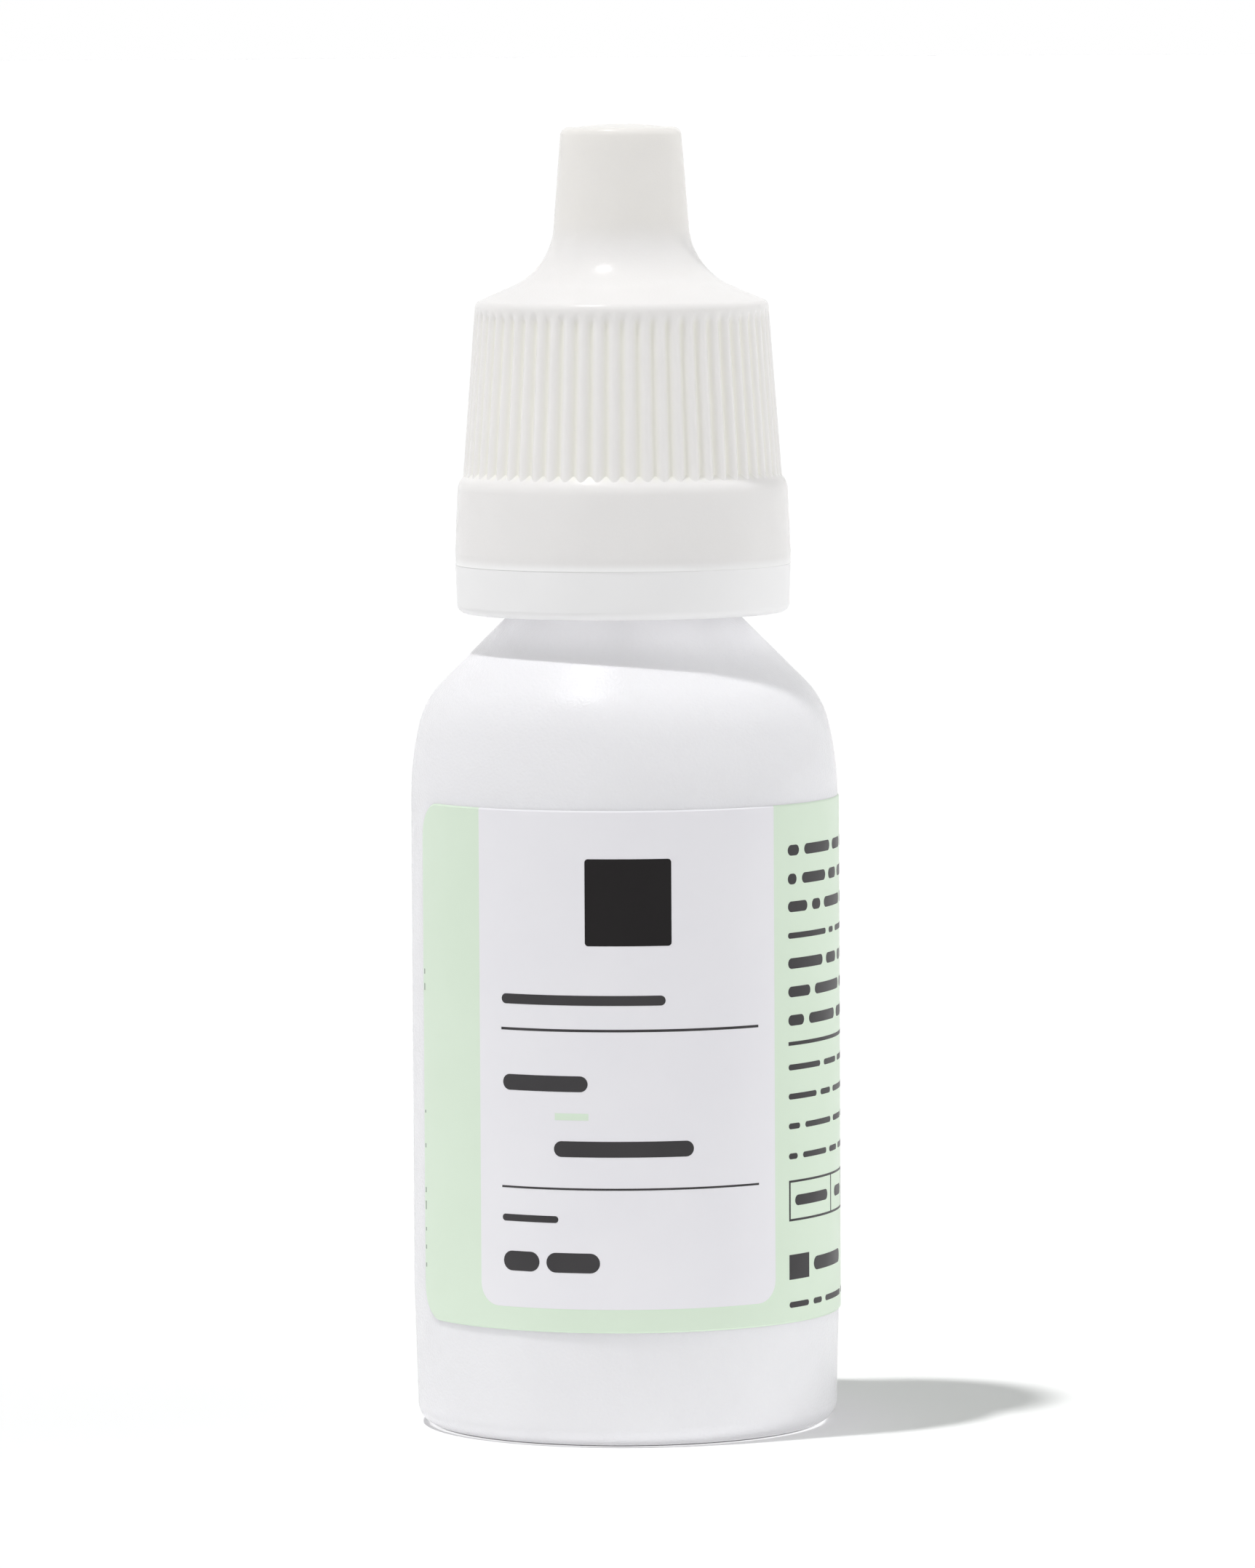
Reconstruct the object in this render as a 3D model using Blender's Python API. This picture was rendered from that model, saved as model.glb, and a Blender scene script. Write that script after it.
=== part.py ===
"""A small eye drop bottle: soft bottle, dropper insert, ribbed screw cap, tamper ring, wrapped label, liquid.

It stands on its foot at the origin, +Z up, with the middle of the label facing -Y. All pieces but the
label are turned about the Z axis. Outlines are (radius, height) points, and their corners carry a fillet.
"""
import math

import bmesh
import bpy
from mathutils import Vector

MM = 0.001

# Fits between pieces
touch_gap = 0.30 * MM
thread_gap = 0.35 * MM
label_gap = 0.10 * MM
seam_gap = 0.35 * MM
overrun = 0.50 * MM
weld_distance = 0.001 * MM

# Facets
body_facets = 60
cavity_facets = 32
insert_facets = 30
thread_facets = 30
arc_step = math.radians(16)
smooth_angle = math.radians(32)

# Bottle body
body_radius = 12.50 * MM
body_wall = 0.80 * MM
heel_draft = 0.22 * MM
heel_draft_height = 8.00 * MM
heel_fillet = 1.20 * MM
foot_width = 0.90 * MM
recess_slope = 0.60 * MM
recess_depth = 0.70 * MM
recess_crown = 0.50 * MM
floor_fillet = 1.50 * MM
brow_height = 39.03 * MM
brow_fillet = 17.20 * MM
shoulder_inset = 0.86 * MM
shoulder_rise = 3.57 * MM
shoulder_fillet = 5.00 * MM
cone_slope = math.tan(math.radians(45))

# Bottle neck
neck_radius = 6.55 * MM
neck_wall = 1.10 * MM
neck_length = 12.70 * MM
rim_chamfer = 0.30 * MM
bead_depth = 1.65 * MM
bead_rise = 2.35 * MM
bead_edge = 0.40 * MM
bead_slope_height = 1.20 * MM

# Screw thread, right-handed, on the neck and in the cap
thread_lead = 3.00 * MM
thread_depth = 0.70 * MM
thread_root_width = 1.30 * MM
thread_crest_width = 0.60 * MM
thread_sink = 0.25 * MM
thread_rise = 5.60 * MM
neck_thread_turns = 1.75
cap_thread_turns = 1.25
cap_thread_lag_turns = 0.62
run_out_turns = 0.10

# Tamper ring
ring_height = 2.47 * MM
ring_lip = 0.08 * MM
ring_wall = 1.00 * MM
ring_bead_gap = 0.60 * MM
ring_draft = 0.14 * MM
ring_fillet = 0.40 * MM
hook_catch = 0.55 * MM
hook_edge = 0.70 * MM
hook_foot_width = 0.20 * MM
hook_count = 8
hook_slot_width = 1.20 * MM
bridge_count = 12
bridge_width = 0.70 * MM
bridge_depth = 0.50 * MM
bridge_height = 0.20 * MM

# Screw cap
collar_bead_gap = 0.35 * MM
collar_wall = 1.27 * MM
collar_belly_height = 0.70 * MM
collar_belly = 0.02 * MM
collar_draft = 0.18 * MM
collar_height = 4.75 * MM
collar_fillet = 0.40 * MM
collar_bore_height = 2.00 * MM
collar_bore_slope = 0.60 * MM
skirt_step = 0.40 * MM
skirt_wall = 0.97 * MM
skirt_flare = 0.76 * MM
skirt_fillet = 0.50 * MM
cap_headroom = 4.20 * MM
roof_rise = 1.92 * MM
roof_wall = 1.05 * MM
nose_root_inset = 4.426 * MM
flare_fillet = 4.05 * MM
nose_length = 8.22 * MM
nose_taper = 0.634 * MM
nose_fillet = 0.40 * MM
nose_crown = 0.24 * MM
nose_top_wall = 1.00 * MM
flute_count = 60
flute_depth = 0.30 * MM
flute_width = 0.72 * MM
flute_foot_margin = 0.15 * MM
flute_top_margin = 0.82 * MM
flute_tip = 0.25 * MM

# Dropper insert and the cap's sealing pin
plug_length = 6.50 * MM
plug_chamfer = 0.50 * MM
plug_wall = 1.30 * MM
seal_count = 2
seal_height = 0.15 * MM
seal_width = 0.80 * MM
seal_pitch = 1.90 * MM
flange_thickness = 0.90 * MM
flange_inset = 0.25 * MM
nozzle_root_radius = 4.50 * MM
nozzle_shoulder_radius = 4.20 * MM
nozzle_shoulder_height = 1.10 * MM
nozzle_shoulder_fillet = 0.50 * MM
nozzle_waist_radius = 2.50 * MM
nozzle_waist_height = 2.60 * MM
nozzle_waist_fillet = 2.40 * MM
nozzle_tip_radius = 1.95 * MM
nozzle_tip_fillet = 0.50 * MM
nozzle_tip_gap = 0.42 * MM
channel_radius = 1.15 * MM
orifice_radius = 0.25 * MM
orifice_length = 1.00 * MM
mouth_radius = 0.90 * MM
mouth_depth = 1.60 * MM
pin_radius = 0.45 * MM
pin_tip_radius = 0.22 * MM
pin_length = 1.20 * MM

# Label, with angles from the front of the bottle towards +X
label_bottom = 6.70 * MM
label_height = 30.20 * MM
label_thickness = 0.10 * MM
label_corner = 2.00 * MM
label_start_angle = math.radians(-70.6)
label_end_angle = math.radians(250.0)
label_corner_steps = 4

# Liquid
fill_height = 38.00 * MM

# Heights and radii that follow from the values above
heel_radius = body_radius - heel_draft
foot_outer = heel_radius - heel_fillet
foot_inner = foot_outer - foot_width
recess_radius = foot_inner - recess_slope
shoulder_radius = body_radius - shoulder_inset
shoulder_height = brow_height + shoulder_rise
neck_root = shoulder_height + (shoulder_radius - neck_radius) * cone_slope
rim_height = neck_root + neck_length
bore_radius = neck_radius - neck_wall
bead_radius = neck_radius + bead_depth
bead_underside = neck_root + bead_rise
floor_height = recess_depth + body_wall
ring_top = bead_underside + ring_lip
ring_bottom = ring_top - ring_height
ring_radius = bead_radius + ring_bead_gap + ring_wall
cap_bottom = ring_top + seam_gap
cap_bore_radius = neck_radius + thread_depth + thread_gap
collar_bore_radius = bead_radius + collar_bead_gap
collar_radius = collar_bore_radius + collar_wall
skirt_top_radius = cap_bore_radius + skirt_wall
skirt_foot_radius = skirt_top_radius + skirt_flare
skirt_foot = collar_height + skirt_step
flange_underside = rim_height + touch_gap
skirt_top = flange_underside + flange_thickness - cap_bottom + cap_headroom
nose_root = skirt_top + roof_rise
nose_root_radius = skirt_top_radius - nose_root_inset
nose_tip = nose_root + nose_length
nose_tip_radius = nose_root_radius - nose_taper
cap_height = nose_tip + nose_crown
cap_ceiling = cap_height - nose_top_wall


def clear_scene():
    for item in list(bpy.data.objects):
        bpy.data.objects.remove(item)


def plastic(name, colour, roughness, alpha=1.0):
    """A Principled material for a moulded plastic, a film or a liquid."""
    material = bpy.data.materials.new(name)
    material.use_nodes = True
    shader = material.node_tree.nodes["Principled BSDF"]
    shader.inputs["Base Color"].default_value = (*colour, 1.0)
    shader.inputs["Roughness"].default_value = roughness
    shader.inputs["Metallic"].default_value = 0.0
    shader.inputs["Alpha"].default_value = alpha
    return material


def rounded(corners):
    """The points of a line of (radius, height, fillet) corners, with each fillet as an arc."""
    points = []
    for index, (radius, height, fillet) in enumerate(corners):
        here = Vector((radius, height))
        if not fillet:
            points.append(here)
            continue
        back = (Vector(corners[index - 1][:2]) - here).normalized()
        ahead = (Vector(corners[index + 1][:2]) - here).normalized()
        half_angle = back.angle(ahead) / 2
        reach = fillet / math.tan(half_angle)
        centre = here + (back + ahead).normalized() * fillet / math.sin(half_angle)
        first = (here + back * reach - centre).normalized()
        last = (here + ahead * reach - centre).normalized()
        steps = max(2, math.ceil((math.pi - 2 * half_angle) / arc_step))
        points += [centre + first.slerp(last, step / steps) * fillet for step in range(steps + 1)]
    return points


def inset(corners, depth):
    """The corners of a parallel line, moved to the left of the way that the given ones run."""
    moved = []
    for index, (radius, height, fillet) in enumerate(corners):
        here = Vector((radius, height))
        ways = []
        if index > 0:
            ways.append((here - Vector(corners[index - 1][:2])).normalized())
        if index < len(corners) - 1:
            ways.append((Vector(corners[index + 1][:2]) - here).normalized())
        sides = [Vector((-way.y, way.x)) for way in ways]
        mitre = (sides[0] + sides[-1]).normalized()
        place = here + mitre * depth / mitre.dot(sides[0])
        left_turn = sides[0].dot(ways[-1]) > 0
        new_fillet = fillet - depth if left_turn else fillet + depth
        moved.append((place.x, place.y, max(0, new_fillet) if fillet else 0))
    return moved


def height_on_line(lower, upper, radius):
    """The height at which the line through two corners reaches a radius."""
    share = (radius - lower[0]) / (upper[0] - lower[0])
    return lower[1] + share * (upper[1] - lower[1])


def cut_above(points, level):
    """The part of a line of points, from below a level up to it, ended on that level."""
    kept = [point for point in points if point.y < level]
    following = points[len(kept)]
    share = (level - kept[-1].y) / (following.y - kept[-1].y)
    return kept + [kept[-1].lerp(following, share)]


def add_object(name, mesh_work, material=None):
    """An object from a bmesh, shaded smooth, or a hidden cutter where it has no material."""
    bmesh.ops.remove_doubles(mesh_work, verts=mesh_work.verts, dist=weld_distance)
    bmesh.ops.recalc_face_normals(mesh_work, faces=mesh_work.faces)
    mesh = bpy.data.meshes.new(name)
    mesh_work.to_mesh(mesh)
    mesh_work.free()
    item = bpy.data.objects.new(name, mesh)
    bpy.context.collection.objects.link(item)
    if material:
        mesh.materials.append(material)
        mesh.shade_smooth()
        mesh.set_sharp_from_angle(angle=smooth_angle)
    else:
        item.hide_render = True
        item.display_type = "WIRE"
    return item


def turned(name, points, facets, material=None, ring=False):
    """A turned solid. Its line of points starts and ends on the axis, or is closed for a ring."""
    work = bmesh.new()
    corners = [work.verts.new((radius, 0, height)) for radius, height in points]
    pairs = list(zip(corners, corners[1:]))
    if ring:
        pairs.append((corners[-1], corners[0]))
    edges = [work.edges.new(pair) for pair in pairs]
    bmesh.ops.spin(work, geom=corners + edges, cent=(0, 0, 0), axis=(0, 0, 1),
                   angle=math.tau, steps=facets, use_merge=True)
    return add_object(name, work, material)


def around(angle, radius, height):
    """The place at an angle from +X, a radius and a height."""
    return (radius * math.cos(angle), radius * math.sin(angle), height)


def add_sections(work, sections):
    """Skin a row of equally long sections into one closed body."""
    rows = [[work.verts.new(place) for place in section] for section in sections]
    for row, following in zip(rows, rows[1:]):
        for index in range(len(row)):
            after = (index + 1) % len(row)
            work.faces.new((row[index], row[after], following[after], following[index]))
    work.faces.new(rows[0])
    work.faces.new(rows[-1])


def thread_ridge(name, wall_radius, depth, start_height, start_turns, turns):
    """A helical ridge that stands on a wall, outward for a positive depth, and runs out at both ends."""
    sink = math.copysign(thread_sink, depth)
    steps = round(turns * thread_facets)
    sections = []
    for step in range(steps + 1):
        turned_by = turns * step / steps
        end_distance = min(turned_by, turns - turned_by)
        height_share = min(1, end_distance / run_out_turns)
        angle = (start_turns + turned_by) * math.tau
        middle = start_height + turned_by * thread_lead
        root = wall_radius - sink
        crest = root + (depth + sink) * height_share if height_share else root + sink / 2
        sections.append([
            around(angle, root, middle - thread_root_width / 2),
            around(angle, crest, middle - thread_crest_width / 2),
            around(angle, crest, middle + thread_crest_width / 2),
            around(angle, root, middle + thread_root_width / 2),
        ])
    work = bmesh.new()
    add_sections(work, sections)
    return add_object(name, work)


def boxes_around(name, count, inner, outer, width, bottom, top):
    """Equal radial boxes, evenly spaced around the axis."""
    work = bmesh.new()
    for index in range(count):
        angle = index * math.tau / count
        along = Vector((math.cos(angle), math.sin(angle), 0))
        across = Vector((-along.y, along.x, 0)) * width / 2
        sections = []
        for height in (bottom, top):
            lift = Vector((0, 0, height))
            sections.append([
                along * inner - across + lift,
                along * outer - across + lift,
                along * outer + across + lift,
                along * inner + across + lift,
            ])
        add_sections(work, sections)
    return add_object(name, work)


def combine(piece, tool, operation):
    """Cut a hidden tool out of a piece or join it on, with a Boolean that stays live."""
    tool.parent = piece
    change = piece.modifiers.new(tool.name, "BOOLEAN")
    change.operation = operation
    change.solver = "EXACT"
    change.object = tool


def bottle_wall_corners():
    """The outside of the bottle from the heel to the neck."""
    return [
        (heel_radius, 0, heel_fillet),
        (body_radius, heel_draft_height, 0),
        (body_radius, brow_height, brow_fillet),
        (shoulder_radius, shoulder_height, shoulder_fillet),
        (neck_radius, neck_root, 0),
    ]


def cavity_corners(depth):
    """The corners of a line inside the bottle's wall, from the middle of its floor to its neck bore."""
    heel, draft_top, brow, shoulder, root = inset(bottle_wall_corners(), depth)
    extra = depth - body_wall
    floor = floor_height + extra
    bore = bore_radius - extra
    return [
        (0, floor + recess_crown, 0),
        (recess_radius, floor, 0),
        (heel[0], floor, floor_fillet),
        draft_top,
        brow,
        shoulder,
        (bore, height_on_line(shoulder, root, bore), 0),
    ]


def make_bottle(material):
    """The soft bottle: foot ring, straight wall, rounded shoulder, neck with bead and thread."""
    underside = [
        (0, recess_depth + recess_crown, 0),
        (recess_radius, recess_depth, 0),
        (foot_inner, 0, 0),
    ]
    neck = [
        (neck_radius, bead_underside, 0),
        (bead_radius, bead_underside, 0),
        (bead_radius, bead_underside + bead_edge, 0),
        (neck_radius, bead_underside + bead_edge + bead_slope_height, 0),
        (neck_radius, rim_height - rim_chamfer, 0),
        (neck_radius - rim_chamfer, rim_height, 0),
        (0, rim_height, 0),
    ]
    bottle = turned("bottle", rounded(underside + bottle_wall_corners() + neck), body_facets, material)
    thread = thread_ridge("neck_thread", neck_radius, thread_depth, neck_root + thread_rise,
                          0, neck_thread_turns)
    combine(bottle, thread, "UNION")
    mouth = [
        (bore_radius, rim_height + overrun, 0),
        (0, rim_height + overrun, 0),
    ]
    cavity = turned("bottle_cavity", rounded(cavity_corners(body_wall) + mouth), cavity_facets)
    combine(bottle, cavity, "DIFFERENCE")
    return bottle


def make_solution(material):
    """The liquid, a touch gap clear of the bottle's inside and level at its top."""
    inside = rounded(cavity_corners(body_wall + touch_gap))
    level = floor_height + fill_height
    points = cut_above(inside, level) + [Vector((0, level))]
    return turned("solution", points, cavity_facets, material)


def seal_corners(plug_radius):
    """The raised seal rings around the plug, listed upwards, with heights from the flange's underside."""
    corners = []
    for index in reversed(range(seal_count)):
        middle = -(index + 1) * seal_pitch
        corners += [
            (plug_radius, middle - seal_width / 2, 0),
            (plug_radius + seal_height, middle, 0),
            (plug_radius, middle + seal_width / 2, 0),
        ]
    return corners


def make_dropper_insert(material):
    """The press-fitted nozzle: plug with seal rings, flange on the rim, tapered spout and its channel."""
    plug_radius = bore_radius - touch_gap
    plug_bore = plug_radius - plug_wall
    tip = cap_bottom + cap_ceiling - nozzle_tip_gap - flange_underside
    outside = [
        (0, -plug_length, 0),
        (plug_radius - plug_chamfer, -plug_length, 0),
        (plug_radius, plug_chamfer - plug_length, 0),
        *seal_corners(plug_radius),
        (plug_radius, 0, 0),
        (neck_radius - flange_inset, 0, 0),
        (neck_radius - flange_inset, flange_thickness, 0),
        (nozzle_root_radius, flange_thickness, 0),
        (nozzle_shoulder_radius, flange_thickness + nozzle_shoulder_height, nozzle_shoulder_fillet),
        (nozzle_waist_radius, flange_thickness + nozzle_waist_height, nozzle_waist_fillet),
        (nozzle_tip_radius, tip, nozzle_tip_fillet),
        (0, tip, 0),
    ]
    insert = turned("dropper_insert", rounded(outside), insert_facets, material)
    insert.location.z = flange_underside
    orifice_top = tip - mouth_depth
    channel_top = orifice_top - orifice_length
    channel = [
        (0, -plug_length - overrun, 0),
        (plug_bore, -plug_length - overrun, 0),
        (plug_bore, -seal_pitch, 0),
        (channel_radius, flange_thickness, 0),
        (channel_radius, channel_top, 0),
        (orifice_radius, channel_top + channel_radius - orifice_radius, 0),
        (orifice_radius, orifice_top, 0),
        (mouth_radius, tip, 0),
        (mouth_radius, tip + overrun, 0),
        (0, tip + overrun, 0),
    ]
    combine(insert, turned("dropper_channel", rounded(channel), insert_facets), "DIFFERENCE")
    return insert


def make_tamper_ring(material):
    """The break-away ring: hooks that sit under the neck's bead, and stubs of its bridges to the cap."""
    inner = ring_radius - ring_wall
    hook_radius = bead_radius - hook_catch
    hook_top = bead_underside - touch_gap - ring_bottom
    section = [
        (inner, ring_height, 0),
        (ring_radius, ring_height, 0),
        (ring_radius - ring_draft, 0, ring_fillet),
        (inner - hook_foot_width, 0, 0),
        (hook_radius, hook_top - hook_edge, 0),
        (hook_radius, hook_top, 0),
        (inner, hook_top, 0),
    ]
    ring = turned("tamper_ring", rounded(section), body_facets, material, ring=True)
    ring.location.z = ring_bottom
    slots = boxes_around("hook_slots", hook_count, hook_radius - overrun, inner,
                         hook_slot_width, -overrun, ring_height + overrun)
    combine(ring, slots, "DIFFERENCE")
    bridge_middle = ring_radius - ring_wall / 2
    bridges = boxes_around("bridge_stubs", bridge_count, bridge_middle - bridge_depth / 2,
                           bridge_middle + bridge_depth / 2, bridge_width,
                           ring_height - bridge_height, ring_height + bridge_height)
    combine(ring, bridges, "UNION")
    return ring


def cap_wall_corners():
    """The outside of the cap from the foot of its skirt to the tip of its nose."""
    return [
        (skirt_foot_radius, skirt_foot, 0),
        (skirt_top_radius, skirt_top, skirt_fillet),
        (nose_root_radius, nose_root, flare_fillet),
        (nose_tip_radius, nose_tip, nose_fillet),
    ]


def cap_cavity_points():
    """The inside of the cap from its sealing pin down to its open end."""
    foot, corner, root, tip = inset(cap_wall_corners(), roof_wall)
    bore_top = height_on_line(corner, root, cap_bore_radius)
    ceiling_share = (cap_ceiling - root[1]) / (tip[1] - root[1])
    ceiling_radius = root[0] + ceiling_share * (tip[0] - root[0])
    corners = [
        (0, cap_ceiling - pin_length, 0),
        (pin_tip_radius, cap_ceiling - pin_length, 0),
        (pin_radius, cap_ceiling, 0),
        (ceiling_radius, cap_ceiling, 0),
        root,
        (cap_bore_radius, bore_top, 0),
        (cap_bore_radius, collar_bore_height + collar_bore_slope, 0),
        (collar_bore_radius, collar_bore_height, 0),
        (collar_bore_radius, -overrun, 0),
        (0, -overrun, 0),
    ]
    return rounded(corners)


def flute_cutter():
    """One pointed groove for each flute, leaning with the skirt and running out at both ends."""
    lean = (skirt_top_radius - skirt_foot_radius) / (skirt_top - skirt_foot)
    ends = []
    for height in (skirt_foot + flute_foot_margin, skirt_top - flute_top_margin):
        ends.append((skirt_foot_radius + lean * (height - skirt_foot), height))
    tip_rise = flute_tip * (flute_depth + overrun) / flute_depth
    tip_rises = (-tip_rise, tip_rise)
    work = bmesh.new()
    for index in range(flute_count):
        angle = (2 * index + 1) * math.pi / flute_count
        along = Vector((math.cos(angle), math.sin(angle), 0))
        across = Vector((-along.y, along.x, 0)) * flute_width / 2
        rows = []
        for radius, height in ends:
            lift = Vector((0, 0, height))
            skin = along * radius + lift
            outer = along * (radius + overrun) + lift
            valley = along * (radius - flute_depth) + lift
            places = (valley, skin + across, outer + across, outer - across, skin - across)
            rows.append([work.verts.new(place) for place in places])
        low, high = rows
        tips = []
        for (radius, height), rise in zip(ends, tip_rises):
            tips.append(work.verts.new(along * (radius + overrun) + Vector((0, 0, height + rise))))
        for side in range(len(low)):
            after = (side + 1) % len(low)
            work.faces.new((low[side], low[after], high[after], high[side]))
            work.faces.new((low[after], low[side], tips[0]))
            work.faces.new((high[side], high[after], tips[1]))
    return add_object("flutes", work)


def make_screw_cap(material):
    """The ribbed cap: plain collar, fluted skirt, flared roof and narrow nose over the spout."""
    collar_top_radius = collar_radius - collar_draft
    collar = [
        (0, 0, 0),
        (collar_radius - collar_belly, 0, 0),
        (collar_radius, collar_belly_height, 0),
        (collar_top_radius, collar_height, collar_fillet),
    ]
    crown = [
        (nose_tip_radius / 2, cap_height - nose_crown / 4, 0),
        (0, cap_height, 0),
    ]
    cap = turned("screw_cap", rounded(collar + cap_wall_corners() + crown), body_facets, material)
    cap.location.z = cap_bottom
    combine(cap, flute_cutter(), "DIFFERENCE")
    combine(cap, turned("cap_cavity", cap_cavity_points(), cavity_facets), "DIFFERENCE")
    flank = (thread_root_width + thread_crest_width) / 2 + touch_gap
    thread_start = neck_root + thread_rise - flank + cap_thread_lag_turns * thread_lead - cap_bottom
    cap_thread_depth = neck_radius + touch_gap - cap_bore_radius
    thread = thread_ridge("cap_thread", cap_bore_radius, cap_thread_depth, thread_start,
                          cap_thread_lag_turns, cap_thread_turns)
    combine(cap, thread, "UNION")
    return cap


def label_columns():
    """The label's columns as (angle, trim): the trim rounds its corners off at both ends."""
    span = label_end_angle - label_start_angle
    corner_angle = label_corner / body_radius
    ends = []
    for step in range(label_corner_steps + 1):
        turn = math.radians(90) * step / label_corner_steps
        ends.append((corner_angle * (1 - math.cos(turn)), label_corner * (1 - math.sin(turn))))
    facet = math.tau / body_facets
    middle_steps = math.ceil((span - 2 * corner_angle) / facet)
    middle_span = span - 2 * corner_angle
    middle = [(corner_angle + middle_span * step / middle_steps, 0) for step in range(1, middle_steps)]
    far_ends = [(span - angle, trim) for angle, trim in reversed(ends)]
    return [(label_start_angle + angle, trim) for angle, trim in ends + middle + far_ends]


def make_label(material):
    """The wrapped film label, a thin curved sheet with rounded corners around most of the bottle."""
    inner = body_radius + label_gap
    outer = inner + label_thickness
    front = math.radians(-90)
    sections = []
    for angle, trim in label_columns():
        low = label_bottom + trim
        high = label_bottom + label_height - trim
        turn = front + angle
        sections.append([
            around(turn, inner, low),
            around(turn, outer, low),
            around(turn, outer, high),
            around(turn, inner, high),
        ])
    work = bmesh.new()
    add_sections(work, sections)
    return add_object("label", work, material)


def make_all():
    clear_scene()
    bottle = make_bottle(plastic("white_soft_plastic", (0.84, 0.84, 0.87), 0.34))
    label = make_label(plastic("printed_film", (0.66, 0.83, 0.64), 0.42))
    solution = make_solution(plastic("clear_liquid", (0.86, 0.93, 0.95), 0.05, 0.5))
    insert = make_dropper_insert(plastic("natural_plastic", (0.80, 0.82, 0.82), 0.40))
    ring = make_tamper_ring(plastic("ring_plastic", (0.84, 0.84, 0.83), 0.36))
    cap = make_screw_cap(plastic("cap_plastic", (0.86, 0.85, 0.82), 0.36))
    cap_axis = bpy.data.objects.new("cap_axis", None)
    bpy.context.collection.objects.link(cap_axis)
    cap_axis.parent = bottle
    for piece in (label, solution, insert):
        piece.parent = bottle
    for piece in (ring, cap):
        piece.parent = cap_axis


make_all()
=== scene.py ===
"""The looks of the eye drop bottle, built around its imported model.

Lengths are in metres. Turned pieces are made from outlines of (radius, height, fillet) corners. Their ends
come from the box of the node that they stand for, and the rest are the sizes of the real pieces.
Angles around the bottle run from its front, -Y, towards +X, and label places are (angle, height).
"""
import math

import bmesh
import bpy
import numpy as np
from mathutils import Matrix, Vector


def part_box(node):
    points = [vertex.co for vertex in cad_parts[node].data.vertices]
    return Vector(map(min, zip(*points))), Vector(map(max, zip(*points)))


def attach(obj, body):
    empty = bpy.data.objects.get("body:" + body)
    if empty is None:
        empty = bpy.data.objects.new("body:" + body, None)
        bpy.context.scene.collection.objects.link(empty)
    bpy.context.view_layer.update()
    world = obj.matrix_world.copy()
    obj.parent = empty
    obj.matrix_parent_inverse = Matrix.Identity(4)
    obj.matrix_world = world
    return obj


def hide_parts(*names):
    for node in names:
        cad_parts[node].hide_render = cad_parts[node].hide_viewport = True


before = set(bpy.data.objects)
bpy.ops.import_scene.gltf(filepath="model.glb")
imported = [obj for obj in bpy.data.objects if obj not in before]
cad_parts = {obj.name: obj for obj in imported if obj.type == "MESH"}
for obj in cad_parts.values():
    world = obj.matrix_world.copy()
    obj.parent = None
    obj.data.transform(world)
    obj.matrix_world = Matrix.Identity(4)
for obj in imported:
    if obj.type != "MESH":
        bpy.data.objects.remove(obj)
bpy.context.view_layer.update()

MM = 0.001
FRONT = math.radians(-90)

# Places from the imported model
bottle_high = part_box("bottle")[1]
insert_low, insert_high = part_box("dropper_insert")
ring_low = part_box("tamper_ring")[0]
cap_low, cap_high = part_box("screw_cap")
label_low, label_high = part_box("label")
body_radius = bottle_high.x
rim_height = bottle_high.z
cap_bottom = cap_low.z
collar_radius = cap_high.x

# Fineness of the turned meshes
arc_step = math.radians(4)
least_arc_steps = 3
body_columns = 240
cavity_columns = 120
insert_columns = 120
rib_columns = 12
thread_columns = 90
pinch_steps = 24
pinch_arc_points = 7
sharp_angle = math.radians(30)
weld_distance = 0.0005 * MM

# Bottle
body_wall = 0.80 * MM
heel_draft = 0.22 * MM
heel_draft_height = 8.00 * MM
heel_fillet = 1.20 * MM
foot_width = 0.90 * MM
foot_edge = 0.15 * MM
recess_slope = 0.60 * MM
recess_depth = 0.70 * MM
recess_crown = 0.50 * MM
recess_halfway_share = 0.75
recess_fillet = 0.30 * MM
floor_fillet = 1.50 * MM
brow_height = 39.03 * MM
brow_fillet = 17.20 * MM
shoulder_inset = 0.86 * MM
shoulder_rise = 3.57 * MM
shoulder_fillet = 5.00 * MM
neck_radius = 6.55 * MM
neck_wall = 1.10 * MM
neck_bore_fillet = 0.50 * MM
neck_length = 12.70 * MM
neck_root_fillet = 0.40 * MM
rim_chamfer = 0.30 * MM
bead_depth = 1.65 * MM
bead_rise = 2.35 * MM
bead_edge = 0.40 * MM
bead_edge_fillet = 0.12 * MM
bead_slope_height = 1.20 * MM
parting_ridge = 0.02 * MM
parting_angle = math.radians(8)
pinch_length = 13.0 * MM
pinch_width = 0.35 * MM
pinch_height = 0.12 * MM
pinch_sink = 0.10 * MM
pinch_end_drop = 0.5
pinch_end_width = 0.3
pinch_bluntness = 4
foot_radius = body_radius - heel_draft - heel_fillet
recess_radius = foot_radius - foot_width - recess_slope
neck_root = rim_height - neck_length
neck_bore = neck_radius - neck_wall
bead_radius = neck_radius + bead_depth

# Screw thread
thread_lead = 3.00 * MM
thread_depth = 0.70 * MM
thread_root_width = 1.30 * MM
thread_crest_width = 0.60 * MM
thread_sink = 0.25 * MM
thread_edge_share = 0.85
thread_edge_bulge = 0.6
thread_rise = 5.60 * MM
neck_thread_turns = 1.75
cap_thread_turns = 1.25
cap_thread_lag_turns = 0.62
run_out_turns = 0.10

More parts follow.
